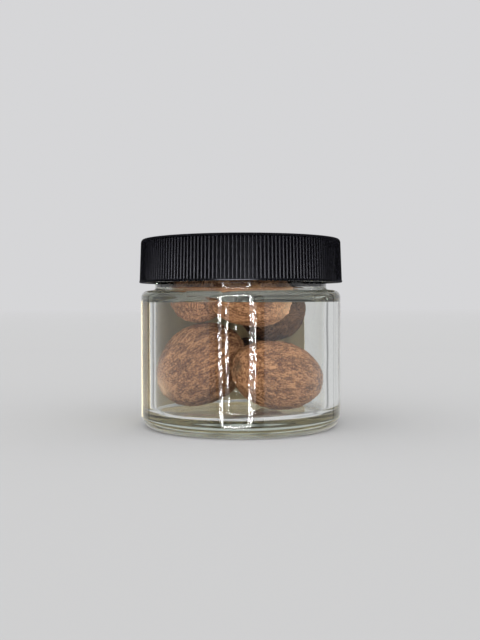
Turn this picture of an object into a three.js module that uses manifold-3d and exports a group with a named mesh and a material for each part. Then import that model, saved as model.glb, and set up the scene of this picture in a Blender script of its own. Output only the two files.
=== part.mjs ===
// A small straight-sided clear glass jar with a ribbed black screw cap and its pale liner, a
// plain paper label round its back, and six whole nutmegs inside.
// Millimetres, +Z up. The origin is the centre of the jar's foot, and -Y is the front.

import * as THREE from 'three';
import { mergeVertices } from 'three/addons/utils/BufferGeometryUtils.js';
import Module from 'manifold-3d';

const wasm = await Module();
wasm.setup();

// ---- driving dimensions ----

const roundSegments = 60;

const jar = {
  radius: 28.25,
  wall: 4.05,
  floor: 4.4,
  footOuter: 25.1,
  footInner: 22.4,
  heelHeight: 3.9,
  pushUp: 1.2,
  floorCorner: 2.0,
  shoulderStart: 36.4,
  shoulderRoundTop: 38.4,
  shoulderRound: 1.9,
  neckFoot: 38.6,
  neckFillet: 0.7,
  innerShoulderStart: 35.1,
  innerShoulderTop: 36.7,
  neckRadius: 24.3,
  boreRadius: 21.3,
  rim: 50.1,
  rimRound: 0.7,
};

const thread = {
  pitch: 5.0,
  steps: 36,
  crestWidth: 0.9,
  rootWidth: 2.0,
  neckHeight: 1.1,
  neckTop: 48.4,
  neckTurns: 1.05,
  capHeight: 1.1,
  capDrop: 2.5,
  capTurns: 0.8,
  bite: 0.4,
  fade: 0.12,
};

const cap = {
  bottom: 40.6,
  top: 52.8,
  lipRadius: 28.8,
  lipHeight: 0.7,
  crestBottom: 28.68,
  crestTop: 28.3,
  ribDepth: 0.35,
  ribCount: 172,
  ribTop: 52.0,
  ribBite: 0.1,
  ribRoot: 0.8,
  edgeRadius: 28.4,
  topRadius: 27.6,
  plate: 1.2,
  skirtBore: 26.2,
};

const liner = {
  bottom: 50.4,
  top: 51.3,
  radius: 25.5,
};

const label = {
  gap: 0.3,
  thickness: 0.15,
  bottom: 3.2,
  top: 35.6,
  rightEdge: 126,
  leftEdge: 284,
  segments: 28,
};

// centre, then the long axis's turn about Z and its rise, in degrees; taper is how much fatter
// the +axis end is than the other.
const nutmegs = [
  { name: 'nutmeg_low_right', centre: [9.9, -9.2, 15.1], turn: 33, rise: -12,
    halfLength: 14.2, halfWidth: 9.6, taper: -0.04, roll: 20 },
  { name: 'nutmeg_low_left', centre: [-11.4, -0.9, 17.3], turn: 33, rise: 26,
    halfLength: 13.8, halfWidth: 10.9, taper: 0.08, roll: 75 },
  { name: 'nutmeg_low_back', centre: [5.0, 13.9, 14.7], turn: 149, rise: 28,
    halfLength: 12.1, halfWidth: 8.7, taper: 0.05, roll: 140 },
  { name: 'nutmeg_top_left', centre: [-10.8, 4.2, 39.1], turn: 66, rise: 31,
    halfLength: 12.7, halfWidth: 8.9, taper: -0.05, roll: 200 },
  { name: 'nutmeg_top_front', centre: [2.1, -11.8, 37.6], turn: 172, rise: 18,
    halfLength: 12.1, halfWidth: 9.1, taper: 0.1, roll: 265 },
  { name: 'nutmeg_top_back', centre: [9.3, 7.7, 32.6], turn: 127, rise: 0,
    halfLength: 12.3, halfWidth: 9.6, taper: 0.04, roll: 320 },
];

const nutmegAround = 16;
const nutmegAlong = 12;
const nutmegDimple = 0.05;
const nutmegFlat = 0.03;

// ---- shared helpers ----

const point = (radius, height) => new THREE.Vector2(radius, height);

// Points on a quarter ellipse from (r0, z0) to (r1, z1); it leaves the start upright when
// upright is true, and flat when it is false.
function quarter(r0, z0, r1, z1, steps, upright) {
  const points = [];
  for (let i = 1; i <= steps; i += 1) {
    const angle = (i / steps) * Math.PI / 2;
    const slow = 1 - Math.cos(angle);
    const fast = Math.sin(angle);
    const across = upright ? slow : fast;
    const along = upright ? fast : slow;
    points.push(point(r0 + (r1 - r0) * across, z0 + (z1 - z0) * along));
  }
  return points;
}

// A lathe turned so that its axis is +Z.
function turned(profile) {
  return new THREE.LatheGeometry(profile, roundSegments).rotateX(Math.PI / 2);
}

// Position-only geometry with its shared vertices merged.
function welded(geometry) {
  const plain = geometry.clone();
  plain.deleteAttribute('normal');
  plain.deleteAttribute('uv');
  return mergeVertices(plain, 1e-5);
}

function solidOf(geometry) {
  const plain = welded(geometry);
  return new wasm.Manifold(new wasm.Mesh({
    numProp: 3,
    vertProperties: new Float32Array(plain.attributes.position.array),
    triVerts: new Uint32Array(plain.index.array),
  }));
}

function geometryOf(solid) {
  const mesh = solid.getMesh();
  const geometry = new THREE.BufferGeometry();
  geometry.setAttribute('position', new THREE.BufferAttribute(mesh.vertProperties, 3));
  geometry.setIndex(new THREE.BufferAttribute(mesh.triVerts, 1));
  geometry.computeVertexNormals();
  return geometry;
}

function moveEach(geometry, move) {
  const position = geometry.attributes.position;
  const vertex = new THREE.Vector3();
  for (let i = 0; i < position.count; i += 1) {
    vertex.fromBufferAttribute(position, i);
    move(vertex);
    position.setXYZ(i, vertex.x, vertex.y, vertex.z);
  }
  return geometry;
}

// One helical thread. Its trapezoid stands on the circle of rootRadius and reaches out by
// height, or in when height is negative, and it fades out at both ends.
function helicalThread(rootRadius, height, topHeight, turns) {
  const inside = -Math.sign(height) * thread.bite;
  const section = new THREE.Shape([
    point(inside, -thread.rootWidth / 2),
    point(height, -thread.crestWidth / 2),
    point(height, thread.crestWidth / 2),
    point(inside, thread.rootWidth / 2),
  ]);
  const bar = new THREE.ExtrudeGeometry(section, {
    depth: 1, steps: thread.steps, bevelEnabled: false,
  });
  return moveEach(bar, (v) => {
    const end = Math.min(v.z, 1 - v.z) / thread.fade;
    const full = Math.min(1, Math.max(0, end));
    const outward = v.x * Math.sign(height) > 0 ? v.x * full : v.x;
    const radius = rootRadius + outward;
    const angle = -v.z * turns * 2 * Math.PI;
    const level = topHeight + v.y - v.z * turns * thread.pitch;
    v.set(radius * Math.cos(angle), radius * Math.sin(angle), level);
  });
}

// ---- the glass jar: thick base, upright wall, rounded shoulder, threaded neck ----

function jarProfile() {
  const inner = jar.radius - jar.wall;
  return [
    point(0, jar.pushUp),
    point(jar.footInner * 0.62, jar.pushUp * 0.75),
    point(jar.footInner, 0),
    point(jar.footOuter, 0),
    ...quarter(jar.footOuter, 0, jar.radius, jar.heelHeight, 4, false),
    point(jar.radius, jar.shoulderStart),
    ...quarter(jar.radius, jar.shoulderStart, jar.radius - jar.shoulderRound,
      jar.shoulderRoundTop, 3, true),
    point(jar.neckRadius + jar.neckFillet, jar.neckFoot),
    point(jar.neckRadius, jar.neckFoot + jar.neckFillet),
    point(jar.neckRadius, jar.rim - jar.rimRound),
    point(jar.neckRadius - jar.rimRound, jar.rim),
    point(jar.boreRadius + jar.rimRound, jar.rim),
    point(jar.boreRadius, jar.rim - jar.rimRound),
    point(jar.boreRadius, jar.innerShoulderTop),
    point(inner, jar.innerShoulderStart),
    point(inner, jar.floor + jar.floorCorner),
    ...quarter(inner, jar.floor + jar.floorCorner, inner - jar.floorCorner, jar.floor, 3, true),
    point(0, jar.floor),
  ];
}

function glassJar() {
  const body = solidOf(turned(jarProfile()));
  const ridge = solidOf(
    helicalThread(jar.neckRadius, thread.neckHeight, thread.neckTop, thread.neckTurns));
  return geometryOf(body.add(ridge));
}

// ---- the screw cap: smooth lip, fine upright ribs, rounded top edge, thread inside ----

function capProfile() {
  const backing = cap.ribDepth + cap.ribRoot / 4;
  const lipTop = cap.bottom + cap.lipHeight;
  return [
    point(0, cap.top - cap.plate),
    point(cap.skirtBore, cap.top - cap.plate),
    point(cap.skirtBore, cap.bottom),
    point(cap.lipRadius, cap.bottom),
    point(cap.lipRadius, lipTop),
    point(cap.crestBottom - backing, lipTop),
    point(cap.crestTop - backing, cap.ribTop),
    point(cap.edgeRadius, cap.ribTop),
    ...quarter(cap.edgeRadius, cap.ribTop, cap.topRadius, cap.top, 4, true),
    point(0, cap.top),
  ];
}

// The ribs as one ring: a fine V-tooth outline outside, a plain circle inside, both drawn in
// towards the top. Its ends bite into the lip and the top edge.
function ribRing() {
  const teeth = cap.ribCount * 2;
  const outline = [];
  for (let i = 0; i < teeth; i += 1) {
    const angle = (i / teeth) * 2 * Math.PI;
    const radius = i % 2 === 0 ? cap.crestBottom : cap.crestBottom - cap.ribDepth;
    outline.push(point(radius * Math.cos(angle), radius * Math.sin(angle)));
  }
  const ring = new THREE.Shape(outline);
  const holeRadius = cap.crestBottom - cap.ribDepth - cap.ribRoot;
  ring.holes.push(new THREE.Path().absarc(0, 0, holeRadius, 0, 2 * Math.PI, true));
  const bottom = cap.bottom + cap.lipHeight - cap.ribBite;
  const height = cap.ribTop + cap.ribBite - bottom;
  const shrink = 1 - cap.crestTop / cap.crestBottom;
  const bar = new THREE.ExtrudeGeometry(ring, {
    depth: height, bevelEnabled: false, curveSegments: roundSegments / 2,
  });
  return moveEach(bar, (v) => {
    const keep = 1 - shrink * (v.z / height);
    v.set(v.x * keep, v.y * keep, v.z + bottom);
  });
}

function screwCap() {
  const body = solidOf(turned(capProfile()));
  const ribs = solidOf(ribRing());
  const ridge = solidOf(helicalThread(
    cap.skirtBore, -thread.capHeight, thread.neckTop - thread.capDrop, thread.capTurns));
  return geometryOf(body.add(ribs).add(ridge));
}

// ---- the liner: a flat disc of pale foam between the cap's top and the jar's rim ----

function capLiner() {
  return new THREE.CylinderGeometry(
    liner.radius, liner.radius, liner.top - liner.bottom, roundSegments)
    .rotateX(Math.PI / 2)
    .translate(0, 0, (liner.top + liner.bottom) / 2);
}

// ---- the label: one thin sheet of paper bent round the back of the jar ----

function paperLabel() {
  const inner = jar.radius + label.gap;
  const outer = inner + label.thickness;
  const start = THREE.MathUtils.degToRad(label.rightEdge - 90);
  const end = THREE.MathUtils.degToRad(label.leftEdge - 90);
  const sheet = new THREE.Shape();
  sheet.absarc(0, 0, outer, start, end, false);
  sheet.absarc(0, 0, inner, end, start, true);
  return new THREE.ExtrudeGeometry(sheet, {
    depth: label.top - label.bottom, bevelEnabled: false, curveSegments: label.segments / 2,
  }).translate(0, 0, label.bottom);
}

// ---- a whole nutmeg: an uneven egg along X, a little flat on two sides, dimpled at the scar ----

function nutmegBody(nut) {
  const ball = new THREE.SphereGeometry(1, nutmegAround, nutmegAlong).rotateZ(-Math.PI / 2);
  return moveEach(welded(ball), (v) => {
    const along = v.x;
    const around = Math.atan2(v.z, v.y);
    const egg = 1 + nut.taper * along;
    const uneven = 1 + nutmegFlat * Math.cos(2 * around) + nutmegFlat / 2 * Math.cos(3 * around + 2 * along);
    const scar = 1 - nutmegDimple * Math.max(0, -along) ** 12;
    const across = nut.halfWidth * egg * uneven;
    v.set(nut.halfLength * along * scar, across * v.y, across * v.z);
  });
}

function placedNutmeg(nut) {
  const shell = nutmegBody(nut);
  shell.computeVertexNormals();
  const mesh = named(nut.name, shell, { color: 0x7d5a41, roughness: 0.85, metalness: 0 });
  mesh.position.set(...nut.centre);
  const angles = [nut.roll, -nut.rise, nut.turn].map(THREE.MathUtils.degToRad);
  mesh.rotation.set(...angles, 'ZYX');
  return mesh;
}

// ---- the whole ----

function named(name, geometry, look) {
  const mesh = new THREE.Mesh(geometry, new THREE.MeshStandardMaterial(look));
  mesh.name = name;
  return mesh;
}

const whole = new THREE.Group();
whole.add(
  named('jar', glassJar(),
    { color: 0xdde4dd, roughness: 0.05, metalness: 0, transparent: true, opacity: 0.35 }),
  named('cap', screwCap(), { color: 0x1c1c20, roughness: 0.45, metalness: 0 }),
  named('liner', capLiner(), { color: 0xe8e8e4, roughness: 0.7, metalness: 0 }),
  named('label', paperLabel(), { color: 0xe9e2c8, roughness: 0.8, metalness: 0 }),
  ...nutmegs.map(placedNutmeg),
);

export default whole;
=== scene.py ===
import math

import bpy
import numpy as np
from mathutils import Matrix, Vector


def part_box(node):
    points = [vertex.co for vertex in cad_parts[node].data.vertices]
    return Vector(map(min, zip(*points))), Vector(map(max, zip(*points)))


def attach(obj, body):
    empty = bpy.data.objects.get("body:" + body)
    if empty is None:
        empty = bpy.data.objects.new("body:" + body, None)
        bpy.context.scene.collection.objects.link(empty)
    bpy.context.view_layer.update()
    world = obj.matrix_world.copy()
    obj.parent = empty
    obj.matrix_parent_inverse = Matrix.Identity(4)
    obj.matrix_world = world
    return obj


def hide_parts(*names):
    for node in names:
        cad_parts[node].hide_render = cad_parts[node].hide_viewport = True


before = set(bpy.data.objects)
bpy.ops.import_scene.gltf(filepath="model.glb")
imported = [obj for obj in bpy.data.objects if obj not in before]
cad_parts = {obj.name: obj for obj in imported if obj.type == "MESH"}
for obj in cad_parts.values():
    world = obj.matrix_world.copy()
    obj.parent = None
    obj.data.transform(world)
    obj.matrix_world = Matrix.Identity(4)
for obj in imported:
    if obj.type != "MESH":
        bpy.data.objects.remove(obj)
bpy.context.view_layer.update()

# ---------------------------------------------------------------- the glass jar
# One moulded piece of clear soda-lime glass: a thick base standing on a ring, an upright wall
# about 4 mm thick, a rounded shoulder and a short neck with one turn of screw thread.

JAR_LOW, JAR_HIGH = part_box("jar")
JAR_RADIUS = JAR_HIGH.x
JAR_RIM = JAR_HIGH.z
WALL = 0.00405
FLOOR_TOP = 0.0044
FOOT_OUTER = 0.0251
FOOT_INNER = 0.0224
HEEL_HEIGHT = 0.0039
PUSH_UP = 0.0012
FLOOR_CORNER = 0.0020
SHOULDER_START = 0.0364
SHOULDER_ROUND_TOP = 0.0384
SHOULDER_ROUND = 0.0019
NECK_FOOT = 0.0386
NECK_FILLET = 0.0007
INNER_SHOULDER_START = 0.0351
INNER_SHOULDER_TOP = 0.0367
INNER_SHOULDER_SOFT = 0.0003
NECK_RADIUS = 0.0243
BORE_RADIUS = 0.0213
RIM_ROUND = 0.0007
THREAD_PITCH = 0.0050
THREAD_PROUD = 0.0011
NECK_THREAD_TOP = 0.0484
JAR_STEPS = 180
SMOOTH_BELOW = 40
WALL_ROWS = 26
UNEVEN = 0.00002
WALL_DRIFT = 0.0010
DRIFT_SPREAD = 0.6
NECK_THREAD_TURNS = 1.05
GLASS_TINT = (0.70, 0.745, 0.69, 1)
GLASS_DENSITY = 32.0
GLASS_INDEX = 1.52


def arc(start, end, steps, upright):
    """Points on a quarter ellipse after start up to end; it leaves start upright, or else flat."""
    points = []
    for i in range(1, steps + 1):
        angle = i / steps * math.pi / 2
        slow, fast = 1 - math.cos(angle), math.sin(angle)
        across, along = (slow, fast) if upright else (fast, slow)
        points.append((start[0] + (end[0] - start[0]) * across,
                       start[1] + (end[1] - start[1]) * along))
    return points


def turned(name, outline, steps):
    """A closed shape: an outline of (radius, height) points, extruded point by point and spun."""
    bpy.ops.object.select_all(action="DESELECT")
    first = outline[0]
    bpy.ops.mesh.primitive_plane_add(size=0.001, location=(first[0], 0, first[1]))
    piece = bpy.context.object
    piece.name = name
    bpy.ops.object.transform_apply(location=True)
    bpy.ops.object.mode_set(mode="EDIT")
    bpy.ops.mesh.merge(type="CENTER")
    for here, there in zip(outline, outline[1:]):
        step = (there[0] - here[0], 0, there[1] - here[1])
        bpy.ops.mesh.extrude_region_move(TRANSFORM_OT_translate={"value": step})
    bpy.ops.mesh.select_all(action="SELECT")
    bpy.ops.mesh.spin(steps=steps, angle=2 * math.pi, center=(0, 0, 0), axis=(0, 0, 1))
    bpy.ops.mesh.select_all(action="SELECT")
    bpy.ops.mesh.remove_doubles(threshold=2e-6)
    bpy.ops.mesh.normals_make_consistent(inside=False)
    bpy.ops.object.mode_set(mode="OBJECT")
    return piece


def thread_bead(name, radius, top, turns, thickness):
    """A rounded helical bead that runs down right-handed from top and fades out at both ends."""
    steps_a_turn = 72
    count = round(steps_a_turn * turns) + 1
    curve = bpy.data.curves.new(name, "CURVE")
    curve.dimensions = "3D"
    curve.bevel_depth = thickness
    curve.bevel_resolution = 3
    curve.use_fill_caps = True
    line = curve.splines.new("POLY")
    line.points.add(count - 1)
    for i, p in enumerate(line.points):
        angle = -2 * math.pi * i / steps_a_turn
        height = top - THREAD_PITCH * i / steps_a_turn
        p.co = (radius * math.cos(angle), radius * math.sin(angle), height, 1)
        p.radius = min(1, 0.15 + min(i, count - 1 - i) / 8)
    bead = bpy.data.objects.new(name, curve)
    bpy.context.scene.collection.objects.link(bead)
    bpy.ops.object.select_all(action="DESELECT")
    bead.select_set(True)
    bpy.context.view_layer.objects.active = bead
    bpy.ops.object.convert(target="MESH")
    bead = bpy.context.object
    bpy.ops.object.mode_set(mode="EDIT")
    bpy.ops.mesh.select_all(action="SELECT")
    bpy.ops.mesh.remove_doubles(threshold=1e-6)
    bpy.ops.mesh.normals_make_consistent(inside=False)
    bpy.ops.object.mode_set(mode="OBJECT")
    return bead


def apply_modifier(piece, kind, **settings):
    bpy.context.view_layer.objects.active = piece
    modifier = piece.modifiers.new(kind.title(), kind)
    for key, value in settings.items():
        setattr(modifier, key, value)
    bpy.ops.object.modifier_apply(modifier=modifier.name)


def smooth(piece, degrees):
    bpy.ops.object.select_all(action="DESELECT")
    piece.select_set(True)
    bpy.context.view_layer.objects.active = piece
    bpy.ops.object.shade_smooth_by_angle(angle=math.radians(degrees))


inner_radius = JAR_RADIUS - WALL
wall_heights = np.linspace(INNER_SHOULDER_START, FLOOR_TOP + FLOOR_CORNER, WALL_ROWS)[1:-1]
jar_outline = [
    (0, PUSH_UP),
    (FOOT_INNER * 0.62, PUSH_UP * 0.75),
    (FOOT_INNER, 0.0001),
    (FOOT_INNER + 0.0004, 0),
    (FOOT_OUTER, 0),
    *arc((FOOT_OUTER, 0), (JAR_RADIUS, HEEL_HEIGHT), 14, upright=False),
    (JAR_RADIUS, SHOULDER_START),
    *arc((JAR_RADIUS, SHOULDER_START), (JAR_RADIUS - SHOULDER_ROUND, SHOULDER_ROUND_TOP), 12,
         upright=True),
    (NECK_RADIUS + NECK_FILLET, NECK_FOOT),
    *arc((NECK_RADIUS + NECK_FILLET, NECK_FOOT), (NECK_RADIUS, NECK_FOOT + NECK_FILLET), 6,
         upright=False),
    (NECK_RADIUS, JAR_RIM - RIM_ROUND),
    *arc((NECK_RADIUS, JAR_RIM - RIM_ROUND), (NECK_RADIUS - RIM_ROUND, JAR_RIM), 5, upright=True),
    (BORE_RADIUS + RIM_ROUND, JAR_RIM),
    *arc((BORE_RADIUS + RIM_ROUND, JAR_RIM), (BORE_RADIUS, JAR_RIM - RIM_ROUND), 5, upright=False),
    (BORE_RADIUS, INNER_SHOULDER_TOP + INNER_SHOULDER_SOFT),
    (BORE_RADIUS + 0.3 * INNER_SHOULDER_SOFT, INNER_SHOULDER_TOP),
    (inner_radius - 0.7 * INNER_SHOULDER_SOFT, INNER_SHOULDER_START + 0.3 * INNER_SHOULDER_SOFT),
    (inner_radius, INNER_SHOULDER_START),
    *[(inner_radius, height) for height in wall_heights],
    (inner_radius, FLOOR_TOP + FLOOR_CORNER),
    *arc((inner_radius, FLOOR_TOP + FLOOR_CORNER), (inner_radius - FLOOR_CORNER, FLOOR_TOP), 8,
         upright=True),
    (0, FLOOR_TOP),
]
jar = turned("glass_jar", jar_outline, JAR_STEPS)
inner_wall = jar.vertex_groups.new(name="inner_wall")
inner_rows = [v.index for v in jar.data.vertices
              if inner_radius - WALL / 4 < math.hypot(v.co.x, v.co.y) < inner_radius + WALL / 4
              and FLOOR_TOP + FLOOR_CORNER / 2 < v.co.z < INNER_SHOULDER_START]
inner_wall.add(inner_rows, 1.0, "REPLACE")
ripple = bpy.data.textures.new("ripple", "CLOUDS")
ripple.noise_scale = 0.005
apply_modifier(jar, "DISPLACE", texture=ripple, vertex_group="inner_wall", strength=UNEVEN)
for index in inner_rows:
    place = jar.data.vertices[index].co
    round_front = math.atan2(place.x, -place.y)
    drift = WALL_DRIFT * math.sin(round_front) * math.exp(-(round_front / DRIFT_SPREAD) ** 2)
    place.x += drift * math.sin(round_front)
    place.y -= drift * math.cos(round_front)
neck_thread = thread_bead("neck_thread", NECK_RADIUS, NECK_THREAD_TOP, NECK_THREAD_TURNS,
                          THREAD_PROUD)
apply_modifier(jar, "BOOLEAN", operation="UNION", object=neck_thread, solver="EXACT")
bpy.data.objects.remove(neck_thread)
smooth(jar, SMOOTH_BELOW)

glass = bpy.data.materials.new("clear_glass")
glass.use_nodes = True
shader = glass.node_tree.nodes["Principled BSDF"]
shader.inputs["Base Color"].default_value = (0.996, 1.0, 0.992, 1)
shader.inputs["Roughness"].default_value = 0.0
shader.inputs["IOR"].default_value = GLASS_INDEX
shader.inputs["Transmission Weight"].default_value = 1.0
tint = glass.node_tree.nodes.new("ShaderNodeVolumeAbsorption")
tint.inputs["Color"].default_value = GLASS_TINT
tint.inputs["Density"].default_value = GLASS_DENSITY
glass.node_tree.links.new(tint.outputs["Volume"],
                          glass.node_tree.nodes["Material Output"].inputs["Volume"])
jar.data.materials.clear()
jar.data.materials.append(glass)
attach(jar, "root")
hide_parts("jar")

# ---------------------------------------------------------------- the nutmegs
# Whole dried seeds, uneven brown eggs about 25 mm long. The skin is matt, with fine wavy
# furrows from end to end, a pale scar at one end and a shallow seam down one side.

NUTS = {
    # node: which way the scar end points, the skin's brightness with painted shade and light in it
    # (the back nuts darker for the shade they stand in, the top ones lighter for the front light
    # they catch), the scar's brightness and its radius
    "nutmeg_low_right": ((-1, 0, 0), 1.04, 0.22, 0.0020),
    "nutmeg_low_left": ((-1, 0, -1), 0.97, 1.9, 0.0028),
    "nutmeg_low_back": ((1, 0, 0), 0.45, 0.6, 0.0020),
    "nutmeg_top_left": ((0, 0, 1), 1.45, 0.8, 0.0020),
    "nutmeg_top_front": ((1, 0, 0), 1.35, 2.4, 0.0036),
    "nutmeg_top_back": ((0, 1, 0), 0.48, 0.5, 0.0020),
}


# how much the relief and each part of the grain count in the skin's colour, and where the mean is
# moved; the relief's share is painted shade in the hollows and painted highlight on the crests
RELIEF_SHADE_SHARE = 0.24
RIDGE_SHARE = 0.09
STREAK_SHARE = 0.34
SPECK_SHARE = 0.40
MEAN_SHIFT = -0.035
HOLLOW_TONE = (0.122, 0.052, 0.027, 1)
MIDDLE_TONE = (0.264, 0.124, 0.058, 1)
CREST_TONE = (0.475, 0.245, 0.121, 1)
SCAR_TONE = (0.46, 0.30, 0.18)
# the grain is drawn in millimetres, so many times longer than wide
STREAK_STRETCH = 4.0
SPECK_STRETCH = 1.4
# painted shade of the cap: above this height, over so much, the skin is darker by this share
CAP_SHADE_FROM = 0.0366
DARKER_OVER = 0.0020
DARKER_BY = 0.52
# the skin is let out a little, then pressed in at the seam and the scar
SWELL = 0.00022
SEAM_WIDTH = 0.07
SEAM_WANDER = 0.25
SEAM_DEPTH = 0.00028
RING_RADIUS = 0.0021
RING_WIDTH = 0.0007
RING_HEIGHT = 0.0002
PIT_RADIUS = 0.0014
PIT_DEPTH = 0.0004
# each relief's cell size, its stretch along the nut, its strength and the level left in place
LUMPS = (0.009, 1.2, 0.0007, 0.5)
WRINKLES = (0.0026, 4.0, 0.00015, 0.9)
FURROWS = (0.0010, 3.0, 0.00018, 0.5)
RELIEF_SPREAD = 0.16
SCAR_COVER = 0.8
ANOTHER_NUT = 40


def long_axes(points, towards):
    """Centre and own axes of an egg-shaped cloud of points; the first axis runs from the scar."""
    centre = points.mean(0)
    spread, axes = np.linalg.eigh(np.cov((points - centre).T))
    along = axes[:, 2]
    if along @ np.array(towards) > 0:
        along = -along
    side = axes[:, 1]
    return centre, np.array([along, side, np.cross(along, side)])


def vertex_places(piece):
    places = np.zeros(len(piece.data.vertices) * 3)
    piece.data.vertices.foreach_get("co", places)
    return places.reshape(-1, 3)


def vertex_normals(piece):
    normals = np.zeros(len(piece.data.vertices) * 3)
    piece.data.vertices.foreach_get("normal", normals)
    return normals.reshape(-1, 3)


def store(piece, name, kind, values):
    attribute = piece.data.attributes.new(name, kind, "POINT")
    key = "vector" if kind == "FLOAT_VECTOR" else "value"
    attribute.data.foreach_set(key, np.asarray(values, np.float32).ravel())


def relief_texture(name, kind, **settings):
    texture = bpy.data.textures.new(name, kind)
    for key, value in settings.items():
        setattr(texture, key, value)
    return texture


lumps = relief_texture("lumps", "CLOUDS", noise_scale=1.0, noise_depth=1)
wrinkles = relief_texture("wrinkles", "MUSGRAVE", musgrave_type="RIDGED_MULTIFRACTAL",
                          noise_scale=1.0, octaves=2.0, dimension_max=1.0, lacunarity=2.0,
                          offset=0.9, gain=1.5)
furrows = relief_texture("furrows", "DISTORTED_NOISE", noise_scale=1.0, distortion=1.2)


def displace(piece, texture, centre, axes, cell, stretch, strength, middle):
    """Pushes the skin in and out by a texture whose cells are stretched along the nut."""
    guide = bpy.data.objects.new("guide", None)
    bpy.context.scene.collection.objects.link(guide)
    turn = Matrix(axes.T.tolist()).to_4x4()
    size = Matrix.Diagonal((cell * stretch, cell, cell, 1))
    guide.matrix_world = Matrix.Translation(centre) @ turn @ size
    bpy.context.view_layer.update()
    apply_modifier(piece, "DISPLACE", texture=texture, texture_coords="OBJECT",
                   texture_coords_object=guide, strength=strength, mid_level=middle)
    bpy.data.objects.remove(guide)


def skin_material():
    skin = bpy.data.materials.new("nutmeg_skin")
    skin.use_nodes = True
    nodes, links = skin.node_tree.nodes, skin.node_tree.links
    shader = nodes["Principled BSDF"]
    shader.inputs["Roughness"].default_value = 0.75
    shader.inputs["Specular IOR Level"].default_value = 0.2

    def stored(name):
        node = nodes.new("ShaderNodeAttribute")
        node.attribute_name = name
        return node

    own = stored("own_place").outputs["Vector"]
    flat = stored("plain_place").outputs["Vector"]

    def noise(where, scale, detail, distortion=0.0):
        node = nodes.new("ShaderNodeTexNoise")
        node.inputs["Scale"].default_value = scale
        node.inputs["Detail"].default_value = detail
        node.inputs["Distortion"].default_value = distortion
        links.new(where, node.inputs["Vector"])
        return node.outputs["Fac"]

    def spread(value, low, high, to_low, to_high):
        node = nodes.new("ShaderNodeMapRange")
        for name, number in zip(("From Min", "From Max", "To Min", "To Max"),
                                (low, high, to_low, to_high)):
            node.inputs[name].default_value = number
        links.new(value, node.inputs["Value"])
        return node.outputs["Result"]

    def maths(operation, a, b):
        node = nodes.new("ShaderNodeMath")
        node.operation = operation
        for socket, value in zip(node.inputs, (a, b)):
            if isinstance(value, bpy.types.NodeSocket):
                links.new(value, socket)
            else:
                socket.default_value = value
        return node.outputs["Value"]

    ridges = noise(own, 0.36, 0, 0.5)
    streaks = noise(own, 2.1, 1, 0.6)
    specks = noise(flat, 3.2, 1)
    patches = noise(flat, 0.16, 2)

    # the relief's part of the colour is painted shade in the hollows and painted highlight on the
    # crests; the grain's parts are the skin's own colour
    height = maths("MULTIPLY", stored("relief").outputs["Fac"], RELIEF_SHADE_SHARE)
    for part, share in ((ridges, RIDGE_SHARE), (streaks, STREAK_SHARE), (specks, SPECK_SHARE)):
        height = maths("ADD", height, maths("MULTIPLY", part, share))
    height = maths("ADD", height, MEAN_SHIFT)
    ramp = nodes.new("ShaderNodeValToRGB")
    links.new(height, ramp.inputs["Fac"])
    ramp.color_ramp.elements[0].position = 0.405
    ramp.color_ramp.elements[0].color = HOLLOW_TONE
    ramp.color_ramp.elements[1].position = 0.595
    ramp.color_ramp.elements[1].color = CREST_TONE
    middle = ramp.color_ramp.elements.new(0.5)
    middle.color = MIDDLE_TONE

    # each nut's stored brightness carries painted shade and painted light as well as the skin's
    # own colour
    toned = maths("MULTIPLY", spread(patches, 0.35, 0.65, 0.92, 1.08),
                  stored("tone_and_shade").outputs["Fac"])
    shaded = nodes.new("ShaderNodeVectorMath")
    shaded.operation = "SCALE"
    links.new(ramp.outputs["Color"], shaded.inputs["Vector"])
    links.new(toned, shaded.inputs["Scale"])
    with_tip = nodes.new("ShaderNodeMix")
    with_tip.data_type = "RGBA"
    links.new(stored("tip").outputs["Fac"], with_tip.inputs["Factor"])
    links.new(shaded.outputs["Vector"], with_tip.inputs["A"])
    scar = nodes.new("ShaderNodeVectorMath")
    scar.operation = "SCALE"
    scar.inputs["Vector"].default_value = SCAR_TONE
    links.new(stored("tip_tone").outputs["Fac"], scar.inputs["Scale"])
    links.new(scar.outputs["Vector"], with_tip.inputs["B"])
    links.new(with_tip.outputs["Result"], shader.inputs["Base Color"])

    bump = nodes.new("ShaderNodeBump")
    bump.inputs["Strength"].default_value = 0.7
    bump.inputs["Distance"].default_value = 0.00012
    links.new(maths("ADD", maths("MULTIPLY", streaks, 0.5), maths("MULTIPLY", specks, 0.5)),
              bump.inputs["Height"])
    links.new(bump.outputs["Normal"], shader.inputs["Normal"])
    return skin


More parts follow.
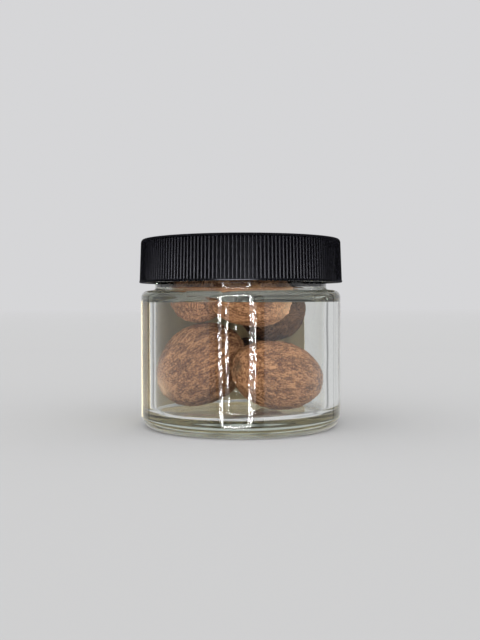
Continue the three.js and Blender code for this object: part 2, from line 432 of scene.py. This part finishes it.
skin = skin_material()
for order, (node, (scar_way, tone_and_shade, scar_tone, scar_size)) in enumerate(NUTS.items()):
    bpy.ops.object.select_all(action="DESELECT")
    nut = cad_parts[node].copy()
    nut.data = nut.data.copy()
    nut.parent = None
    nut.name = node.replace("nutmeg", "nutmeg_seed")
    for key in list(nut.keys()):
        del nut[key]
    bpy.context.scene.collection.objects.link(nut)
    nut.select_set(True)
    bpy.context.view_layer.objects.active = nut
    bpy.ops.object.mode_set(mode="EDIT")
    bpy.ops.mesh.select_all(action="SELECT")
    bpy.ops.mesh.remove_doubles(threshold=1e-6)
    bpy.ops.mesh.tris_convert_to_quads()
    bpy.ops.object.mode_set(mode="OBJECT")
    centre, axes = long_axes(vertex_places(nut), scar_way)
    apply_modifier(nut, "SUBSURF", levels=4, render_levels=4)

    own = (vertex_places(nut) - centre) @ axes.T
    half = np.abs(own).max(0)
    around = np.arctan2(own[:, 2], own[:, 1])
    from_scar = (own[:, 0] + half[0]) / (2 * half[0])
    # the seam, and the ring and the pit of the scar
    normals = vertex_normals(nut)
    wander = SEAM_WANDER * np.sin(5 * from_scar + order)
    seam = np.exp(-((around - wander) / SEAM_WIDTH) ** 2) * np.sin(np.pi * from_scar)
    radius = np.hypot(own[:, 1], own[:, 2])
    near_scar = from_scar < 0.5
    ring = np.exp(-((radius - RING_RADIUS) / RING_WIDTH) ** 2) * near_scar
    pit = np.exp(-(radius / PIT_RADIUS) ** 2) * near_scar
    push = SWELL - SEAM_DEPTH * seam + RING_HEIGHT * ring - PIT_DEPTH * pit
    places = vertex_places(nut) + normals * push[:, None]
    nut.data.vertices.foreach_set("co", places.ravel())
    nut.data.update()

    shift = Vector(centre) + Vector((0.1 * order, 0.03, 0.05 * order))
    displace(nut, lumps, shift, axes, *LUMPS)
    before = vertex_places(nut)
    displace(nut, wrinkles, shift, axes, *WRINKLES)
    displace(nut, furrows, shift, axes, *FURROWS)
    after = vertex_places(nut)
    depth = ((after - before) * normals).sum(1)
    depth = (depth - depth.mean()) / depth.std()
    store(nut, "relief", "FLOAT", np.clip(0.5 + RELIEF_SPREAD * depth, 0, 1))
    # painted shade of the cap: the skin is darker towards the mouth of the jar
    up = np.clip((vertex_places(nut)[:, 2] - CAP_SHADE_FROM) / DARKER_OVER, 0, 1)
    store(nut, "tone_and_shade", "FLOAT", tone_and_shade * (1 - DARKER_BY * up))
    store(nut, "tip", "FLOAT", np.exp(-(radius / scar_size) ** 2) * near_scar * SCAR_COVER)
    store(nut, "tip_tone", "FLOAT", np.full(len(own), scar_tone))
    for name, stretch in (("own_place", STREAK_STRETCH), ("plain_place", SPECK_STRETCH)):
        grain_place = own * 1000 / np.array([stretch, 1, 1]) + ANOTHER_NUT * order
        store(nut, name, "FLOAT_VECTOR", grain_place)
    nut.data.materials.clear()
    nut.data.materials.append(skin)
    smooth(nut, 180)
    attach(nut, "root")
    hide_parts(node)

# ---------------------------------------------------------------- the screw cap
# One moulding of satin black polypropylene: a flat top with a rounded edge, a skirt with fine
# upright ribs above a smooth lip, and a thread bead inside. It is screwed down on the neck.

CAP_LOW, CAP_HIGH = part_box("cap")
LIP_RADIUS = CAP_HIGH.x
LIP_HEIGHT = 0.0007
SKIRT_BOTTOM = 0.0281
SKIRT_TOP = 0.0278
RIB_CREST = 0.02868
RIB_ROUND = 0.00056
RIB_TURN = 44
RIB_STEPS = 5
RIB_FLANK = 0.0001
RIB_DRAFT = 0.0004
RIB_COUNT = 172
RIB_TOP = CAP_HIGH.z - 0.0008
EDGE_START = CAP_HIGH.z - 0.0011
EDGE_RADIUS = 0.02828
TOP_RADIUS = 0.0276
PLATE = 0.0012
SKIRT_BORE = 0.0262
CAP_STEPS = 180
CAP_THREAD_TURNS = 0.8
CAP_SOFT = 0.00033
CAP_BLACK = (0.0017, 0.0016, 0.0027, 1)
GROOVE_SHINE = 0.14
CREST_SHINE = 0.62

cap_outline = [
    (0, CAP_HIGH.z - PLATE),
    (SKIRT_BORE, CAP_HIGH.z - PLATE),
    (SKIRT_BORE, CAP_LOW.z + CAP_SOFT),
    (SKIRT_BORE + CAP_SOFT, CAP_LOW.z),
    (LIP_RADIUS - CAP_SOFT, CAP_LOW.z),
    *arc((LIP_RADIUS - CAP_SOFT, CAP_LOW.z), (LIP_RADIUS, CAP_LOW.z + CAP_SOFT), 5,
         upright=False),
    (LIP_RADIUS, CAP_LOW.z + LIP_HEIGHT - CAP_SOFT),
    *arc((LIP_RADIUS, CAP_LOW.z + LIP_HEIGHT - CAP_SOFT),
         (LIP_RADIUS - CAP_SOFT, CAP_LOW.z + LIP_HEIGHT), 5, upright=True),
    (SKIRT_BOTTOM, CAP_LOW.z + LIP_HEIGHT + 0.00005),
    (SKIRT_TOP, EDGE_START),
    *arc((EDGE_RADIUS, EDGE_START), (TOP_RADIUS, CAP_HIGH.z), 10, upright=True)[2:],
    (0, CAP_HIGH.z),
]
cap = turned("screw_cap", cap_outline, CAP_STEPS)

# one rib: a bar drawn out in steps to tight round flanks and a shallow round crest, which leans
# in towards the top. A narrow groove is left between neighbours. Each step is the distance
# from the jar's axis and half the rib's width there.
rib_bottom = CAP_LOW.z + LIP_HEIGHT - 0.0001
rib_turn = math.radians(RIB_TURN)
crest_foot = RIB_CREST - RIB_ROUND * (1 - math.cos(rib_turn))
crest_half = RIB_ROUND * math.sin(rib_turn)
rib_steps = []
for turn in (90, 75, 60):
    turn = math.radians(turn)
    rib_steps.append((crest_foot + RIB_FLANK * (math.cos(turn) - math.cos(rib_turn)),
                      crest_half + RIB_FLANK * (math.sin(turn) - math.sin(rib_turn))))
for step in range(RIB_STEPS + 1):
    turn = rib_turn * (1 - step / RIB_STEPS) + 0.02
    rib_steps.append((RIB_CREST - RIB_ROUND * (1 - math.cos(turn)), RIB_ROUND * math.sin(turn)))
bpy.ops.object.select_all(action="DESELECT")
bpy.ops.mesh.primitive_cube_add(
    size=1, location=(rib_steps[0][0] - RIB_ROUND / 2, 0, (rib_bottom + RIB_TOP) / 2),
    scale=(RIB_ROUND, 2 * rib_steps[0][1], RIB_TOP - rib_bottom))
rib = bpy.context.object
bpy.ops.object.transform_apply(location=True, scale=True)
bpy.ops.object.mode_set(mode="EDIT")
bpy.ops.mesh.select_mode(type="FACE")
bpy.ops.mesh.select_all(action="DESELECT")
bpy.ops.object.mode_set(mode="OBJECT")
for face in rib.data.polygons:
    face.select = face.normal.x > 0.5
bpy.ops.object.mode_set(mode="EDIT")
for (here, half_here), (there, half_there) in zip(rib_steps, rib_steps[1:]):
    bpy.ops.mesh.extrude_region_move(TRANSFORM_OT_translate={"value": (there - here, 0, 0)})
    bpy.ops.transform.resize(value=(1, half_there / half_here, 1))
bpy.ops.mesh.select_mode(type="VERT")
bpy.ops.mesh.select_all(action="DESELECT")
bpy.ops.object.mode_set(mode="OBJECT")
for vertex in rib.data.vertices:
    vertex.select = vertex.co.z > (rib_bottom + RIB_TOP) / 2
bpy.ops.object.mode_set(mode="EDIT")
bpy.ops.transform.translate(value=(-RIB_DRAFT, 0, 0))
bpy.ops.mesh.select_all(action="SELECT")
bpy.ops.mesh.spin(steps=RIB_COUNT - 1, dupli=True, angle=2 * math.pi * (RIB_COUNT - 1) / RIB_COUNT,
                  center=(0, 0, 0), axis=(0, 0, 1))
bpy.ops.object.mode_set(mode="OBJECT")
cap_thread = thread_bead("cap_thread", SKIRT_BORE, NECK_THREAD_TOP - THREAD_PITCH / 2,
                         CAP_THREAD_TURNS, THREAD_PROUD)
bpy.ops.object.select_all(action="DESELECT")
for part in (rib, cap_thread, cap):
    part.select_set(True)
bpy.context.view_layer.objects.active = cap
bpy.ops.object.join()
smooth(cap, SMOOTH_BELOW)

plastic = bpy.data.materials.new("black_cap")
plastic.use_nodes = True
nodes, links = plastic.node_tree.nodes, plastic.node_tree.links


def axis_distance(place):
    """The distance from the jar's axis; place is a Texture Coordinate node."""
    level = nodes.new("ShaderNodeVectorMath")
    level.operation = "MULTIPLY"
    level.inputs[1].default_value = (1, 1, 0)
    links.new(place.outputs["Object"], level.inputs[0])
    length = nodes.new("ShaderNodeVectorMath")
    length.operation = "LENGTH"
    links.new(level.outputs["Vector"], length.inputs[0])
    return length.outputs["Value"]


shader = nodes["Principled BSDF"]
shader.inputs["Base Color"].default_value = CAP_BLACK
shader.inputs["Roughness"].default_value = 0.21
grain = nodes.new("ShaderNodeTexNoise")
grain.inputs["Scale"].default_value = 9000
grain.inputs["Detail"].default_value = 2
place = nodes.new("ShaderNodeTexCoord")
links.new(place.outputs["Object"], grain.inputs["Vector"])
# painted shade: the grooves between the ribs reflect less than the crests, for the shade the ribs
# cast into them
groove_shade = nodes.new("ShaderNodeMapRange")
groove_shade.inputs["From Min"].default_value = SKIRT_TOP + 0.0002
groove_shade.inputs["From Max"].default_value = SKIRT_TOP + 0.0007
groove_shade.inputs["To Min"].default_value = GROOVE_SHINE
groove_shade.inputs["To Max"].default_value = CREST_SHINE
links.new(axis_distance(place), groove_shade.inputs["Value"])
links.new(groove_shade.outputs["Result"], shader.inputs["Specular IOR Level"])
bump = nodes.new("ShaderNodeBump")
bump.inputs["Strength"].default_value = 0.1
bump.inputs["Distance"].default_value = 0.000005
links.new(grain.outputs["Fac"], bump.inputs["Height"])
links.new(bump.outputs["Normal"], shader.inputs["Normal"])
cap.data.materials.clear()
cap.data.materials.append(plastic)
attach(cap, "root")
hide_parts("cap")

# ---------------------------------------------------------------- the liner
# A flat disc of pale closed-cell foam pressed into the cap, which seals on the jar's rim. It
# shows only as the pale ring mirrored in the glass of the shoulder.

LINER_LOW, LINER_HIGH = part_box("liner")
LINER_EDGE = 0.00015
LINER_GAP = 0.00003
LINER_STEPS = 96

liner_bottom = JAR_RIM + LINER_GAP
liner_outline = [
    (0, liner_bottom),
    (LINER_HIGH.x - LINER_EDGE, liner_bottom),
    *arc((LINER_HIGH.x - LINER_EDGE, liner_bottom), (LINER_HIGH.x, liner_bottom + LINER_EDGE), 3,
         upright=False),
    (LINER_HIGH.x, LINER_HIGH.z - LINER_EDGE),
    *arc((LINER_HIGH.x, LINER_HIGH.z - LINER_EDGE), (LINER_HIGH.x - LINER_EDGE, LINER_HIGH.z), 3,
         upright=True),
    (0, LINER_HIGH.z),
]
liner = turned("cap_liner", liner_outline, LINER_STEPS)
smooth(liner, SMOOTH_BELOW)

foam = bpy.data.materials.new("liner_foam")
foam.use_nodes = True
nodes, links = foam.node_tree.nodes, foam.node_tree.links
shader = nodes["Principled BSDF"]
shader.inputs["Roughness"].default_value = 0.7
cells = nodes.new("ShaderNodeTexNoise")
cells.inputs["Scale"].default_value = 2500
place = nodes.new("ShaderNodeTexCoord")
links.new(place.outputs["Object"], cells.inputs["Vector"])
shade = nodes.new("ShaderNodeValToRGB")
shade.color_ramp.elements[0].color = (0.88, 0.88, 0.86, 1)
shade.color_ramp.elements[1].color = (0.95, 0.95, 0.93, 1)
links.new(cells.outputs["Fac"], shade.inputs["Fac"])
links.new(shade.outputs["Color"], shader.inputs["Base Color"])
liner.data.materials.clear()
liner.data.materials.append(foam)
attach(liner, "root")
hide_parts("liner")

# ---------------------------------------------------------------- the label
# A plain strip of cream paper without print, stuck round the back of the jar. Through the glass
# its back shows, darker and yellower than the front: partly the paper's own back and partly
# painted shade.

LABEL_LOW, LABEL_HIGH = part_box("label")
LABEL_START = 36  # degrees round from +X
LABEL_END = 194
LABEL_THICK = 0.00014
LABEL_SUNK = 0.00001
LABEL_STRIPS = 90

label_radius = JAR_RADIUS - LABEL_SUNK
bpy.ops.object.select_all(action="DESELECT")
bpy.ops.mesh.primitive_plane_add(size=0.001, location=(label_radius, 0, LABEL_LOW.z))
label = bpy.context.object
label.name = "paper_label"
bpy.ops.object.transform_apply(location=True)
bpy.ops.object.mode_set(mode="EDIT")
bpy.ops.mesh.merge(type="CENTER")
bpy.ops.mesh.extrude_region_move(
    TRANSFORM_OT_translate={"value": (0, 0, LABEL_HIGH.z - LABEL_LOW.z)})
bpy.ops.mesh.select_all(action="SELECT")
bpy.ops.transform.rotate(value=-math.radians(LABEL_START), orient_axis="Z",
                         center_override=(0, 0, 0))
bpy.ops.mesh.spin(steps=LABEL_STRIPS, angle=math.radians(LABEL_START - LABEL_END),
                  center=(0, 0, 0), axis=(0, 0, 1))
bpy.ops.mesh.select_all(action="SELECT")
bpy.ops.mesh.normals_make_consistent(inside=False)
bpy.ops.object.mode_set(mode="OBJECT")
outward = sum(p.normal.dot(p.center) for p in label.data.polygons) > 0
apply_modifier(label, "SOLIDIFY", thickness=LABEL_THICK, offset=1.0 if outward else -1.0)
smooth(label, SMOOTH_BELOW)

paper = bpy.data.materials.new("label_paper")
paper.use_nodes = True
nodes, links = paper.node_tree.nodes, paper.node_tree.links
shader = nodes["Principled BSDF"]
shader.inputs["Roughness"].default_value = 0.85
shader.inputs["Specular IOR Level"].default_value = 0.2
fibre = nodes.new("ShaderNodeTexNoise")
fibre.inputs["Scale"].default_value = 900
fibre.inputs["Detail"].default_value = 4
place = nodes.new("ShaderNodeTexCoord")
links.new(place.outputs["Object"], fibre.inputs["Vector"])
outside = nodes.new("ShaderNodeMath")
outside.operation = "GREATER_THAN"
outside.inputs[1].default_value = label_radius + LABEL_THICK / 2
links.new(axis_distance(place), outside.inputs[0])
sides = nodes.new("ShaderNodeMix")
sides.data_type = "RGBA"
links.new(outside.outputs["Value"], sides.inputs["Factor"])
# the inner face (A) is darker than the outer face (B): partly the paper's back, partly painted
# shade
for side, dark, light in (("A", (0.60, 0.49, 0.31, 1), (0.71, 0.59, 0.385, 1)),
                          ("B", (0.70, 0.65, 0.50, 1), (0.80, 0.75, 0.60, 1))):
    shade = nodes.new("ShaderNodeValToRGB")
    shade.color_ramp.elements[0].color = dark
    shade.color_ramp.elements[1].color = light
    links.new(fibre.outputs["Fac"], shade.inputs["Fac"])
    links.new(shade.outputs["Color"], sides.inputs[side])
links.new(sides.outputs["Result"], shader.inputs["Base Color"])
label.data.materials.clear()
label.data.materials.append(paper)
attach(label, "root")
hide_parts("label")

# ---------------------------------------------------------------- the floor
# A wide plain pale table, not part of the object, which fades into the surround far off.
# Reflections in the glass look through it, so that the lamps show down to the foot.

SURROUND = (0.672, 0.672, 0.684, 1)
TABLE = (0.293, 0.293, 0.295, 1)
TABLE_SIZE = 8
TABLE_DROP = 0.00004
FADE_FROM = 0.4
FADE_TO = 3.6

bpy.ops.object.select_all(action="DESELECT")
bpy.ops.mesh.primitive_plane_add(size=TABLE_SIZE, location=(0, 0, -TABLE_DROP))
floor = bpy.context.object
floor.name = "floor"
ground = bpy.data.materials.new("pale_floor")
ground.use_nodes = True
nodes, links = ground.node_tree.nodes, ground.node_tree.links
nodes.remove(nodes["Principled BSDF"])
matt = nodes.new("ShaderNodeBsdfDiffuse")
matt.inputs["Color"].default_value = TABLE
haze = nodes.new("ShaderNodeEmission")
haze.inputs["Color"].default_value = SURROUND
place = nodes.new("ShaderNodeTexCoord")
from_jar = nodes.new("ShaderNodeVectorMath")
from_jar.operation = "LENGTH"
links.new(place.outputs["Object"], from_jar.inputs[0])
fade = nodes.new("ShaderNodeMapRange")
fade.inputs["From Min"].default_value = FADE_FROM
fade.inputs["From Max"].default_value = FADE_TO
links.new(from_jar.outputs["Value"], fade.inputs["Value"])
table = nodes.new("ShaderNodeMixShader")
links.new(fade.outputs["Result"], table.inputs["Fac"])
links.new(matt.outputs["BSDF"], table.inputs[1])
links.new(haze.outputs["Emission"], table.inputs[2])
clear = nodes.new("ShaderNodeBsdfTransparent")
path = nodes.new("ShaderNodeLightPath")
reflected = nodes.new("ShaderNodeMath")
reflected.operation = "GREATER_THAN"
reflected.inputs[1].default_value = 0.5
links.new(path.outputs["Glossy Depth"], reflected.inputs[0])
pick = nodes.new("ShaderNodeMixShader")
links.new(reflected.outputs["Value"], pick.inputs["Fac"])
links.new(table.outputs["Shader"], pick.inputs[1])
links.new(clear.outputs["BSDF"], pick.inputs[2])
links.new(pick.outputs["Shader"], nodes["Material Output"].inputs["Surface"])
floor.data.materials.append(ground)

# ---------------------------------------------------------------- the studio
# A pale surround with soft light, brighter from the front. Mirror-like reflections also see
# the dark opening round the camera and the rounded frame of small lamps in it.

LIGHT_FRONT = 3.55
LIGHT_BACK = 0.65
LIGHT_KEY = 8.0
KEY_FOCUS = 24
FRAME_CENTRE = (-0.115, 0.03)
FRAME_HALF = (0.335, 0.42)
FRAME_CORNER = 0.17
FRAME_SQUASH = 0.26
LAMP_WIDTH = 0.07
LAMP_POWER = 110.0
OPENING = 0.60
LAMPS_UP = 104
LAMPS_ALONG = 56
LAMP_ROWS = 32
DOT_CORE = 0.18
DOT_EDGE = 0.38
BETWEEN_DOTS = 0.02
# the gaps between the walls: sideways per metre back, width, and share of the light lost
SIDE_GAP = (1.14, 0.08, 0.75)
BACK_GAP = (0.13, 0.06, 0.65)
SATIN_TINT = (0.97, 0.97, 1.08, 1)
GLOW_POWER = 11.4
GLOW_REST = 0.004
GLOW_WIDTH = 0.07
GLOW_TOP = 0.16
GLOW_TOP_EDGE = 12
OVERHEAD_FROM = 0.4
OVERHEAD_POWER = 0.6
BEHIND_FROM = 0.3
BEHIND_POWER = 0.12
NEAR_ZERO = 0.02

world = bpy.data.worlds.new("studio")
bpy.context.scene.world = world
world.use_nodes = True
nodes, links = world.node_tree.nodes, world.node_tree.links
nodes.clear()


def number(operation, a, b=None, c=None):
    """A Math node; a, b and c are sockets or plain numbers."""
    node = nodes.new("ShaderNodeMath")
    node.operation = operation
    for socket, value in zip(node.inputs, (a, b, c)):
        if isinstance(value, bpy.types.NodeSocket):
            links.new(value, socket)
        elif value is not None:
            socket.default_value = value
    return node.outputs["Value"]


def emission(colour, strength):
    node = nodes.new("ShaderNodeBackground")
    node.inputs["Color"].default_value = colour
    if isinstance(strength, bpy.types.NodeSocket):
        links.new(strength, node.inputs["Strength"])
    else:
        node.inputs["Strength"].default_value = strength
    return node.outputs["Background"]


def either(share, a, b):
    node = nodes.new("ShaderNodeMixShader")
    links.new(share, node.inputs["Fac"])
    links.new(a, node.inputs[1])
    links.new(b, node.inputs[2])
    return node.outputs["Shader"]


way = nodes.new("ShaderNodeTexCoord")
parts = nodes.new("ShaderNodeSeparateXYZ")
links.new(way.outputs["Generated"], parts.inputs["Vector"])
path = nodes.new("ShaderNodeLightPath")
ahead = number("MULTIPLY", parts.outputs["Y"], -1)
in_front = number("GREATER_THAN", ahead, NEAR_ZERO)
depth = number("MAXIMUM", ahead, NEAR_ZERO)
across = number("ABSOLUTE", number("SUBTRACT", number("DIVIDE", parts.outputs["X"], depth),
                                   FRAME_CENTRE[0]))
upward = number("ABSOLUTE", number("SUBTRACT", number("DIVIDE", parts.outputs["Z"], depth),
                                   FRAME_CENTRE[1]))
past_side = number("SUBTRACT", across, FRAME_HALF[0] - FRAME_CORNER)
past_top = number("MULTIPLY_ADD", upward, FRAME_SQUASH,
                  FRAME_CORNER - FRAME_HALF[1] * FRAME_SQUASH)
corner = number("POWER", number("ADD",
                                number("POWER", number("MAXIMUM", past_side, 0), 2),
                                number("POWER", number("MAXIMUM", past_top, 0), 2)), 0.5)
inner = number("MINIMUM", number("MAXIMUM", past_side, past_top), 0)
from_frame = number("SUBTRACT", number("ADD", corner, inner), FRAME_CORNER)
on_frame = number("LESS_THAN", number("ABSOLUTE", from_frame), LAMP_WIDTH / 2)
in_opening = number("MULTIPLY", in_front, number("LESS_THAN", from_frame, OPENING - FRAME_HALF[0]))

on_bar = number("GREATER_THAN", past_top, past_side)
side_step = number("MULTIPLY", number("DIVIDE", parts.outputs["Z"], depth), LAMPS_UP)
bar_step = number("MULTIPLY", number("DIVIDE", parts.outputs["X"], depth), LAMPS_ALONG)
lamp_place = nodes.new("ShaderNodeCombineXYZ")
links.new(number("MULTIPLY_ADD", on_bar, number("SUBTRACT", bar_step, side_step), side_step),
          lamp_place.inputs["X"])
links.new(number("MULTIPLY", from_frame, LAMP_ROWS), lamp_place.inputs["Y"])
lamps = nodes.new("ShaderNodeTexVoronoi")
lamps.inputs["Scale"].default_value = 1.0
links.new(lamp_place.outputs["Vector"], lamps.inputs["Vector"])
dots = nodes.new("ShaderNodeMapRange")
dots.inputs["From Min"].default_value = DOT_CORE
dots.inputs["From Max"].default_value = DOT_EDGE
dots.inputs["To Min"].default_value = LAMP_POWER
dots.inputs["To Max"].default_value = LAMP_POWER * BETWEEN_DOTS
links.new(lamps.outputs["Distance"], dots.inputs["Value"])

lamp_light = emission((1, 1, 1, 1), dots.outputs["Result"])
dark = emission((0.03, 0.03, 0.032, 1), 1.0)
walls = emission(SURROUND, 1.0)
# light mirrored inside the glass also meets the darker gaps between the pale walls
sideways = number("DIVIDE", number("ABSOLUTE", parts.outputs["X"]),
                  number("MAXIMUM", parts.outputs["Y"], NEAR_ZERO))


def bell(value, width):
    """1 where value is 0, falling off smoothly over width on either side."""
    wide = number("DIVIDE", value, width)
    return number("EXPONENT", number("MULTIPLY", number("MULTIPLY", wide, wide), -1))


def gap(place, width, share):
    return number("MULTIPLY", bell(number("SUBTRACT", sideways, place), width), -share)


gaps = number("ADD", gap(*SIDE_GAP), gap(*BACK_GAP))
walls_with_gaps = emission(SURROUND, number("ADD", gaps, 1))
seen_in_gloss = either(in_opening, walls_with_gaps, either(on_frame, dark, lamp_light))
front_share = number("MULTIPLY_ADD", ahead, 0.5, 0.5)
key_light = number("MULTIPLY", number("POWER", number("MAXIMUM", ahead, 0), KEY_FOCUS), LIGHT_KEY)
fill_light = number("MULTIPLY_ADD", front_share, LIGHT_FRONT - LIGHT_BACK, LIGHT_BACK)
soft_light = emission((1, 1, 1, 1), number("ADD", fill_light, key_light))


def beyond(value, start, power):
    """A light that grows evenly from start on."""
    return number("MULTIPLY", number("MAXIMUM", number("SUBTRACT", value, start), 0), power)


# satin surfaces see the lamps as one soft ring, with a weak light overhead and behind
below_top = number("SMOOTH_MIN", 1, number(
    "MULTIPLY", number("SUBTRACT", GLOW_TOP, parts.outputs["Z"]), GLOW_TOP_EDGE), 0.1)
lamp_glow = number("MULTIPLY", bell(from_frame, GLOW_WIDTH), number("MAXIMUM", below_top, 0))
glow = number("MULTIPLY_ADD", number("MULTIPLY", in_front, lamp_glow), GLOW_POWER, GLOW_REST)
glow = number("ADD", glow, number("ADD", beyond(parts.outputs["Z"], OVERHEAD_FROM, OVERHEAD_POWER),
                                  beyond(parts.outputs["Y"], BEHIND_FROM, BEHIND_POWER)))
seen_in_satin = emission(SATIN_TINT, glow)
is_mirror = path.outputs["Is Singular Ray"]
is_gloss = number("GREATER_THAN", path.outputs["Glossy Depth"], 0.5)
is_diffuse = number("GREATER_THAN", path.outputs["Diffuse Depth"], 0.5)
direct = either(is_gloss, walls, either(is_mirror, seen_in_satin, seen_in_gloss))
all_light = either(is_diffuse, direct, soft_light)
out = nodes.new("ShaderNodeOutputWorld")
links.new(all_light, out.inputs["Surface"])
world.cycles.sampling_method = "NONE"
# light is mirrored many times inside the thick glass before it comes out again
light_paths = bpy.context.scene.cycles
light_paths.max_bounces = 32
light_paths.glossy_bounces = 24
light_paths.transmission_bounces = 24
light_paths.sample_clamp_indirect = 0

# ---------------------------------------------------------------- the camera
# Level with the top of the glass, about a quarter of a metre in front, tipped down slightly.

CAMERA_PLACE = (-0.00023, -0.242, 0.03536)
CAMERA_DOWN = 1.26
CAMERA_ROLL = 0.18
CAMERA_LENS = 47.6

bpy.ops.object.camera_add(
    location=CAMERA_PLACE,
    rotation=(math.radians(90 - CAMERA_DOWN), math.radians(CAMERA_ROLL), 0))
camera = bpy.context.object
camera.data.lens = CAMERA_LENS
camera.data.sensor_width = 36
camera.data.clip_start = 0.01
bpy.context.scene.camera = camera
bpy.context.scene.view_settings.view_transform = "Standard"
